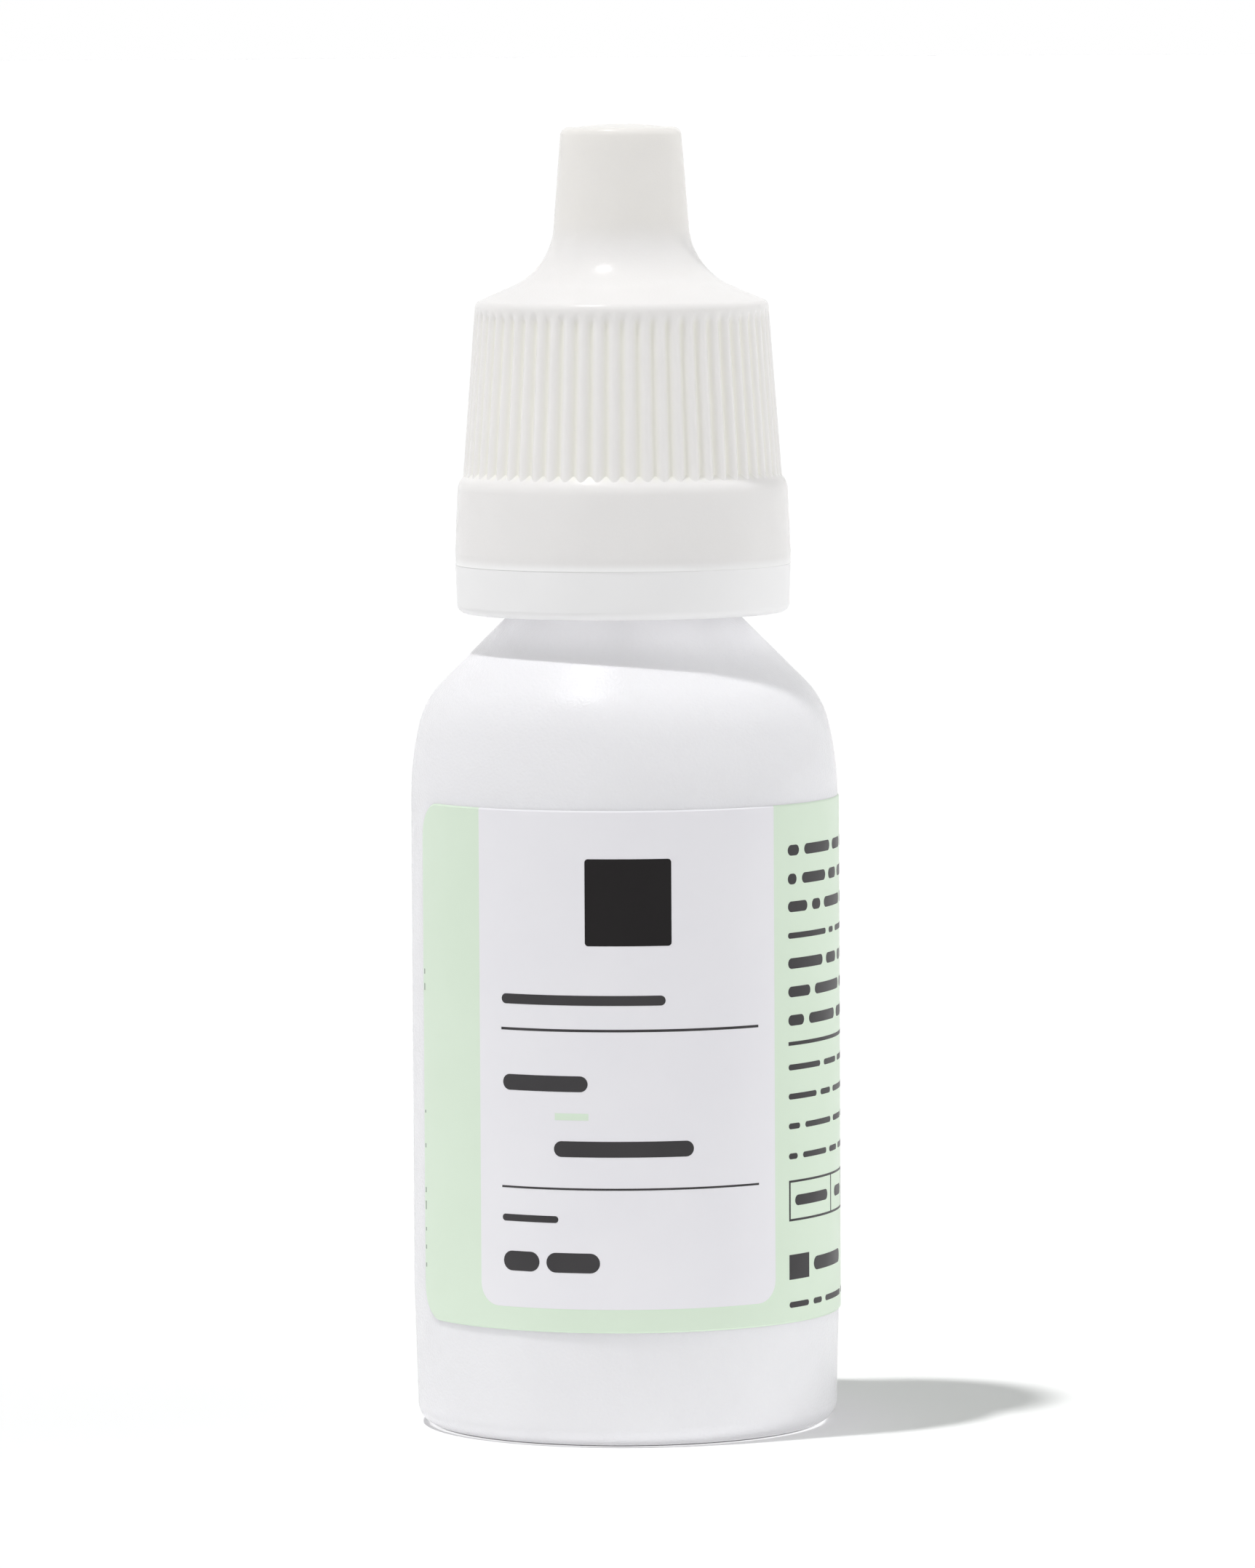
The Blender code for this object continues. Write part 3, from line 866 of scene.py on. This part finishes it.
def make_ring():
    """The break-away ring: hooks under the neck's bead, and the nibs that still hold it to the cap."""
    bottom = ring_low.z
    top = cap_bottom - ring_seam
    radius = collar_foot_radius
    inner = radius - ring_wall
    hook_radius = bead_radius - hook_catch
    hook_top = neck_root + bead_rise - hook_gap
    section = [
        (inner, top, 0),
        (radius, top, ring_top_fillet),
        (radius - ring_draft, bottom, ring_foot_fillet),
        (inner - hook_foot_width, bottom, hook_fillet),
        (hook_radius, hook_top - hook_edge, hook_fillet),
        (hook_radius, hook_top, 0),
        (inner, hook_top, 0),
    ]
    ring = skin("ring_shell", circles(rounded(section), body_columns), looped=True)
    slots = boxes_around("hook_slots", hook_count, hook_radius - boolean_overrun, inner,
                         hook_slot_width, bottom - boolean_overrun, top + boolean_overrun)
    combine(ring, slots, "DIFFERENCE")
    outer = radius - bridge_inset
    nibs = boxes_around("bridge_nibs", bridge_count, outer - bridge_depth, outer, bridge_width,
                        top - bridge_sink, cap_bottom - bridge_tip_gap)
    combine(ring, nibs, "UNION")
    plastic = soft_plastic("ring_polyethylene", *ring_look)
    finish_piece(ring, "tamper_ring", "ring_plastic", [plastic], "tamper_ring")


def rib_rings(foot, corner, bevel_slope, columns):
    """The ribbed skirt, from the line where its ribs meet the collar's bevel up to its top edge.

    Foot and corner are the skirt line's ends on the ribs' crests. Ribs fade out below the top edge.
    """
    phase = np.arange(columns) % rib_columns / rib_columns
    valley = ((1 + np.cos(phase * math.tau)) / 2) ** rib_sharpness
    lean = (corner[0] - foot[0]) / (corner[1] - foot[1])
    meet = foot[1] + rib_depth * valley / (bevel_slope + lean)
    fade_share = 1 - rib_fade_length / (corner[1] - foot[1])
    high_shares = np.linspace(fade_share, 1, rib_top_rings)
    rings = []
    for share in (*rib_low_shares, *high_shares):
        height = meet + share * (corner[1] - meet)
        below_top = np.clip((corner[1] - height) / rib_fade_length, 0, 1)
        fade = (1 - np.cos(below_top * math.pi)) / 2
        radius = foot[0] + lean * (height - foot[1]) - rib_depth * valley * fade
        rings.append(circle(radius, height, columns))
    return rings


def cap_inside(corners, bore_radius):
    """The inside of the cap, from its sealing pin down to its open end."""
    corner, inner_root, inner_tip = inset(corners, roof_wall)[1:]
    ceiling = cap_high.z - nose_top_wall
    ceiling_share = (ceiling - inner_root[1]) / (inner_tip[1] - inner_root[1])
    collar_bore = collar_radius - collar_wall
    return rounded([
        (0, ceiling - pin_length, 0),
        (pin_tip_radius, ceiling - pin_length, 0),
        (pin_radius, ceiling, 0),
        (inner_root[0] + ceiling_share * (inner_tip[0] - inner_root[0]), ceiling, 0),
        inner_root,
        (bore_radius, height_on_line(corner, inner_root, bore_radius), roof_bore_fillet),
        (bore_radius, cap_bottom + collar_bore_height + collar_bore_slope, 0),
        (collar_bore, cap_bottom + collar_bore_height, 0),
        (collar_bore, cap_bottom, 0),
    ])


def cap_crown(edge_radius):
    """The slightly domed top of the nose, with the small round gate mark in its middle."""
    points = []
    for share in np.linspace(1, 0, crown_steps + 1)[1:]:
        radius = gate_radius + share * (edge_radius - gate_radius)
        points.append((radius, cap_high.z - nose_crown * (radius / edge_radius) ** 2))
    gate_floor = cap_high.z - gate_depth
    return points + [(gate_radius - gate_depth, gate_floor), (0, gate_floor)]


def mark_valleys(cap, foot, corner):
    """Store on each point of the ribbed skirt how deep it lies in a valley between ribs, as the mask of
    the painted valley shade.
    """
    count = len(cap.data.vertices)
    places = np.empty(count * 3)
    cap.data.vertices.foreach_get("co", places)
    x, y, z = places.reshape(count, 3).T
    lean = (corner.x - foot[0]) / (corner.y - foot[1])
    depth = (foot[0] + lean * (z - foot[1]) - np.hypot(x, y)) / rib_depth
    on_skirt = (z > foot[1]) & (z < corner.y) & (depth < valley_limit)
    mark = cap.data.attributes.new("groove", "FLOAT", "POINT")
    shade_share = np.clip(depth, 0, 1) ** valley_shade_power
    mark.data.foreach_set("value", np.where(on_skirt, shade_share, 0))


def make_cap():
    """The ribbed screw cap: plain collar, ribbed skirt, flared roof, narrow nose, threaded inside."""
    columns = rib_count * rib_columns
    collar_top = (collar_radius - collar_draft, cap_bottom + collar_height)
    bore_radius = neck_radius + cap_bore_gap
    skirt_top_radius = bore_radius + skirt_wall
    foot = (skirt_top_radius + skirt_flare, collar_top[1] + skirt_step, 0)
    corner = (skirt_top_radius, foot[1] + skirt_height, skirt_fillet)
    root = (corner[0] - nose_root_inset, corner[1] + roof_rise, flare_fillet)
    tip = (root[0] - nose_taper, root[1] + nose_length, nose_fillet)
    apex = (0, tip[1] + 2 * nose_crown, 0)
    collar = rounded([
        (collar_radius - collar_wall, cap_bottom, 0),
        (collar_foot_radius, cap_bottom, collar_edge_fillet),
        (collar_foot_radius + burr_rise, cap_bottom + burr_peak_share * burr_height, collar_edge_fillet),
        (collar_foot_radius, cap_bottom + burr_height, 0),
        (collar_radius, cap_bottom + collar_belly_height, collar_belly_fillet),
        (*collar_top, collar_fillet),
        foot,
    ])[1:-1]
    edge = rounded([foot, corner, (*root[:2], 0)])[1:-1]
    nose = rounded([(*corner[:2], 0), root, tip, apex])[1:-1]
    bevel_slope = (collar_top[0] - foot[0]) / skirt_step
    rings = circles(cap_inside([foot, corner, root, tip], bore_radius), body_columns)
    rings += circles(collar, columns)
    rings += rib_rings(foot, edge[0], bevel_slope, columns)
    rings += circles(edge[1:], columns)
    rings += circles([*nose, *cap_crown(nose[-1].x)], body_columns)
    cap = skin("cap_shell", rings)
    flank = (thread_root_width + thread_crest_width) / 2 + hook_gap
    start = neck_root + thread_rise - flank + cap_thread_lag_turns * thread_lead
    thread = thread_ridge("cap_thread", bore_radius, neck_radius + hook_gap - bore_radius, start,
                          cap_thread_lag_turns, cap_thread_turns)
    combine(cap, thread, "UNION")
    mark_valleys(cap, foot, edge[0])
    # Painted shade: a yellower tint in the rib valleys
    plastic = soft_plastic("cap_polyethylene", *cap_look, groove=groove_tone,
                           # Painted light: a lighter tone along the collar's bottom edge
                           edge=(painted_edge_light_tone, cap_bottom, cap_bottom + painted_edge_light_reach),
                           # Painted light: a warmer tone on the nose, for light through its thin plastic
                           nose=(painted_nose_light_tone, *(root[1] + rise for rise in painted_nose_light_span)))
    finish_piece(cap, "cap", "cap_plastic", [plastic], "screw_cap")


def patch_columns(left, right, low, high, corner, top_corners=True):
    """The columns of a wrapped patch as (angle, low, high), with round corners."""
    ends = []
    if corner:
        for turn in np.linspace(0, math.pi / 2, corner_steps + 1):
            trim = corner * (1 - math.sin(turn))
            angle = corner * (1 - math.cos(turn)) / film_outer
            ends.append((angle, low + trim, high - trim if top_corners else high))
    else:
        ends.append((0, low, high))
    start = left + ends[-1][0]
    span = right - left - 2 * ends[-1][0]
    steps = max(1, math.ceil(span / film_column))
    near = [(left + angle, bottom, top) for angle, bottom, top in ends]
    middle = [(start + span * step / steps, low, high) for step in range(1, steps)]
    far = [(right - angle, bottom, top) for angle, bottom, top in reversed(ends)]
    return near + middle + far


def make_label(mint, white):
    """The wrapped film with its bevelled cut edge: mint, and white where the panel meets the top edge."""
    low, high = label_low.z, label_high.z
    inner = body_radius + film_gap
    chamfer = film_thickness * bevel_share
    columns = patch_columns(film_start, film_end, low, high, film_corner)
    angles = [column[0] for column in columns]
    for edge in (panel_start, panel_end):
        nearest = min(range(len(angles)), key=lambda index: abs(angles[index] - edge))
        columns[nearest] = (edge, low, high)
    sections = []
    for angle, bottom, top in columns:
        sections.append([
            around(angle, inner, bottom),
            around(angle, film_outer - chamfer, bottom),
            around(angle, film_outer, bottom + film_bevel),
            around(angle, film_outer, top - film_bevel),
            around(angle, film_outer - chamfer, top),
            around(angle, inner, top),
        ])
    work = bmesh.new()
    add_sections(work, sections)
    film = from_work("label_film", work)
    for face in film.data.polygons:
        middle = face.center
        angle = math.atan2(middle.x, -middle.y)
        if panel_start < angle < panel_end and middle.z > high - film_bevel:
            face.material_index = 1
    finish_piece(film, "bottle", "label_film", [mint, white], "label")


def add_patch(work, columns, layer):
    """A thin closed print layer that wraps around the label's film."""
    inner = film_outer - ink_sink
    outer = film_outer + layer * ink_rise
    sections = []
    for angle, low, high in columns:
        sections.append([
            around(angle, inner, low), around(angle, outer, low),
            around(angle, outer, high), around(angle, inner, high),
        ])
    add_sections(work, sections)


def add_bar(work, left, width, height, thickness, layer=1, corner=None):
    """A print bar from its left angle, its width along the film, its middle height and its thickness."""
    radius = thickness / 2 if corner is None else corner
    half = thickness / 2
    columns = patch_columns(left, left + width / film_outer, height - half, height + half, radius)
    add_patch(work, columns, layer)


def add_words(work, left, width, height, stroke, first):
    """A row of word-like bars that fills a width. The widths come from the list, from a first one on."""
    place = 0
    index = first
    while width - place > word_widths[index % len(word_widths)]:
        word = word_widths[index % len(word_widths)]
        add_bar(work, left + place / film_outer, word, height, stroke)
        place += word + word_gap
        index += 1


def print_piece(name, work, ink):
    """A finished piece of print on the label, from its working mesh."""
    finish_piece(from_work(name, work), "bottle", "label_film", [ink])


def print_bars(name, ink, bars):
    """A piece of print from bars, each with the values that add_bar takes."""
    work = bmesh.new()
    for bar in bars:
        add_bar(work, *bar)
    print_piece(name, work, ink)


def print_front(white, mint, ink, black):
    """The white panel with its square, two rules, short mint dash and rows of plain bars."""
    work = bmesh.new()
    top = label_high.z - film_bevel
    add_patch(work, patch_columns(panel_start, panel_end, panel_bottom, top, panel_corner, False), 1)
    print_piece("print_panel", work, white)
    square = (square_left, square_size, square_height, square_size, 2, square_corner)
    print_bars("print_square", black, [square])
    dash = (dash_left, dash_size[0], front_dash_height, dash_size[1], 2, 0)
    print_bars("print_dash", mint, [dash])
    print_bars("print_rules", ink, [(rule_left, rule_width, *rule, 2, 0) for rule in front_rules])
    words = [(math.radians(degrees), *sizes, 2) for degrees, *sizes in front_words]
    print_bars("print_front_words", ink, words)


def add_frame(work, left, width, low, high, split=None):
    """A ruled box, with an upright at the split if there is one."""
    middle = (low + high) / 2
    for height in (low, high):
        add_bar(work, left, width, height, frame_stroke, 1, 0)
    uprights = [0, width - frame_stroke] + ([split] if split else [])
    for place in uprights:
        add_bar(work, left + place / film_outer, frame_stroke, middle, high - low, 1, 0)


def print_side(ink):
    """The small print beside the panel: rows of plain bars, a rule, a ruled box and a block with a bar."""
    work = bmesh.new()
    for index, (height, stroke) in enumerate(side_rows):
        add_words(work, side_left, side_width, height, stroke, side_word_step * index)
    print_piece("print_side_rows", work, ink)
    work = bmesh.new()
    add_bar(work, side_left, side_width, *side_rule, 1, 0)
    add_frame(work, side_left, frame_width, frame_low, frame_high, frame_split)
    middle = (frame_low + frame_high) / 2
    add_bar(work, side_left + word_gap / film_outer, frame_split - 2 * word_gap, middle, bold_stroke)
    add_bar(work, side_left + (frame_split + split_gap) / film_outer,
            frame_width - frame_split - 2 * split_gap, middle, bold_stroke)
    add_bar(work, side_left, block_size[0], block_height, block_size[1], 1, 0)
    add_bar(work, side_left + (block_size[0] + word_gap) / film_outer,
            block_word, block_height, block_stroke)
    print_piece("print_side_box", work, ink)


def print_back(ink, faint):
    """Two more columns of small print around the back, and faint specks by the film's left edge."""
    work = bmesh.new()
    row_step, column_step = back_word_steps
    for column, (left, width) in enumerate(back_columns):
        for row in range(back_rows):
            stroke = bold_stroke if row % back_heading_every == 0 else thin_stroke
            room = width * heading_share if stroke == bold_stroke else width
            first = row_step * row + column_step * column
            add_words(work, left, room, back_top - row * back_pitch, stroke, first)
        add_frame(work, left, width, back_box_low, back_box_high)
    print_piece("print_back_rows", work, ink)
    left = film_start + edge_speck_inset / film_outer
    specks = [(left, edge_speck_width, *speck, 1, 0) for speck in edge_specks]
    print_bars("print_edge_specks", faint, specks)


def give_solution_its_look(solution):
    """Clear watery liquid, a little uneven in tint and gloss."""
    fixed = {"IOR": liquid_index, "Transmission Weight": 1.0}
    liquid = material("watery_solution", liquid_tones, liquid_roughness, liquid_grain, fixed)
    solution.data.materials.clear()
    solution.data.materials.append(liquid)


def math_node(tree, operation, first, second):
    """The result of one operation on two values or sockets."""
    return node(tree, "ShaderNodeMath", {0: first, 1: second}, operation=operation).outputs[0]


def sight(tree):
    """One for what is looked at, straight or in gloss and glass, and zero for light on its way."""
    rays = node(tree, "ShaderNodeLightPath").outputs
    glossy = math_node(tree, "MAXIMUM", rays["Is Camera Ray"], rays["Is Glossy Ray"])
    return math_node(tree, "MAXIMUM", glossy, rays["Is Transmission Ray"])


def make_floor():
    """A plain pale floor for the bottle's shadow: a square with a much wider border around it, and with a
    painted pool of light for light on its way, brighter near the bottle.
    """
    mesh = bpy.data.meshes.new("floor")
    corners = ((-1, -1), (1, -1), (1, 1), (-1, 1))
    count = len(corners)
    points = [(x * reach, y * reach, 0) for reach in floor_reaches for x, y in corners]
    faces = [tuple(range(count))]
    for side in range(count):
        after = (side + 1) % count
        faces.append((side, side + count, after + count, after))
    mesh.from_pydata(points, [], faces)
    floor = new_object("floor", mesh)
    floor.location.z = -floor_drop
    made = bpy.data.materials.new("pale_floor")
    made.use_nodes = True
    tree = made.node_tree
    tree.nodes.clear()
    seen = node(tree, "ShaderNodeBsdfDiffuse", {"Color": (*[floor_seen] * 3, 1.0)})
    place = node(tree, "ShaderNodeTexCoord").outputs["Object"]
    distance = node(tree, "ShaderNodeVectorMath", {0: place}, operation="LENGTH").outputs["Value"]
    # Painted pool of light: for light on its way the floor reflects more near the bottle than far out
    start, end = floor_light_pool_reach
    near, far = floor_painted_light_pool
    painted_light_pool = node(tree, "ShaderNodeMapRange", {"Value": distance, "From Min": start, "From Max": end,
                                               "To Min": near, "To Max": far}).outputs["Result"]
    lighting = node(tree, "ShaderNodeBsdfDiffuse", {"Color": painted_light_pool})
    mixed = node(tree, "ShaderNodeMixShader", {0: sight(tree), 1: lighting.outputs[0], 2: seen.outputs[0]})
    node(tree, "ShaderNodeOutputMaterial", {"Surface": mixed.outputs[0]})
    floor.data.materials.append(made)


def make_world():
    """White to look at, and a soft studio light that is brighter from the sides than from the front."""
    world = bpy.data.worlds.new("studio")
    bpy.context.scene.world = world
    world.use_nodes = True
    tree = world.node_tree
    tree.nodes.clear()
    ray = node(tree, "ShaderNodeTexCoord").outputs["Generated"]
    strength = studio_level
    for direction, gain, sharpness in studio_lobes:
        along = node(tree, "ShaderNodeVectorMath", {0: ray, 1: direction}, operation="DOT_PRODUCT")
        facing = math_node(tree, "MAXIMUM", along.outputs["Value"], 0.0)
        extra = math_node(tree, "MULTIPLY", math_node(tree, "POWER", facing, sharpness), gain)
        strength = math_node(tree, "ADD", extra, strength)
    studio = node(tree, "ShaderNodeBackground", {"Color": (*studio_tint, 1.0), "Strength": strength})
    white = node(tree, "ShaderNodeBackground", {"Color": (1, 1, 1, 1), "Strength": 1.0})
    mixed = node(tree, "ShaderNodeMixShader", {0: sight(tree), 1: studio.outputs[0], 2: white.outputs[0]})
    node(tree, "ShaderNodeOutputWorld", {"Surface": mixed.outputs[0]})


def make_key_light():
    """The one hard light, high on the left, a little in front."""
    lamp = bpy.data.lights.new("key", "SUN")
    lamp.energy = key_strength
    lamp.angle = key_angle
    key = new_object("key", lamp)
    key.rotation_euler = Vector(key_direction).to_track_quat("Z", "Y").to_euler()


def make_through_lights():
    """The light that the thin ring and the foot let through onto what lies just below them."""
    for name, level, radius, height in through_lights:
        lamp = bpy.data.lights.new(name, "AREA")
        lamp.shape = "DISK"
        lamp.size = 2 * radius
        lamp.energy = level * math.pi ** 2 * radius ** 2
        glow = new_object(name, lamp)
        glow.location.z = height
        glow.visible_camera = False
        glow.visible_glossy = False


def make_camera():
    """The camera at the photograph's place, tilt and lens."""
    lens = bpy.data.cameras.new("camera")
    lens.sensor_width = sensor_size
    lens.lens = focal_pixels / image_height * sensor_size
    lens.clip_start = nearest_view
    lens.clip_end = farthest_view
    camera = new_object("camera", lens)
    tilt = Matrix.Rotation(math.pi / 2 - camera_pitch, 4, "X")
    roll = Matrix.Rotation(camera_roll, 4, "Z")
    camera.matrix_world = Matrix.Translation(camera_place) @ tilt @ roll
    bpy.context.scene.camera = camera


def make_all():
    """The whole scene: bottle, insert, ring, cap, label, floor, light and camera."""
    bottle_plastic = make_bottle()
    make_pinch_line(bottle_plastic)
    make_insert()
    make_ring()
    make_cap()
    mint = film_material("mint_print", mint_tones)
    white = film_material("white_film", white_tones)
    ink = film_material("dark_print", ink_tones)
    black = film_material("black_print", black_tones)
    faint = film_material("faint_print", faint_tones)
    make_label(mint, white)
    print_front(white, mint, ink, black)
    print_side(ink)
    print_back(ink, faint)
    give_solution_its_look(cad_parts["solution"])
    make_floor()
    make_world()
    make_key_light()
    make_through_lights()
    make_camera()
    bpy.context.scene.view_settings.view_transform = "Standard"


make_all()
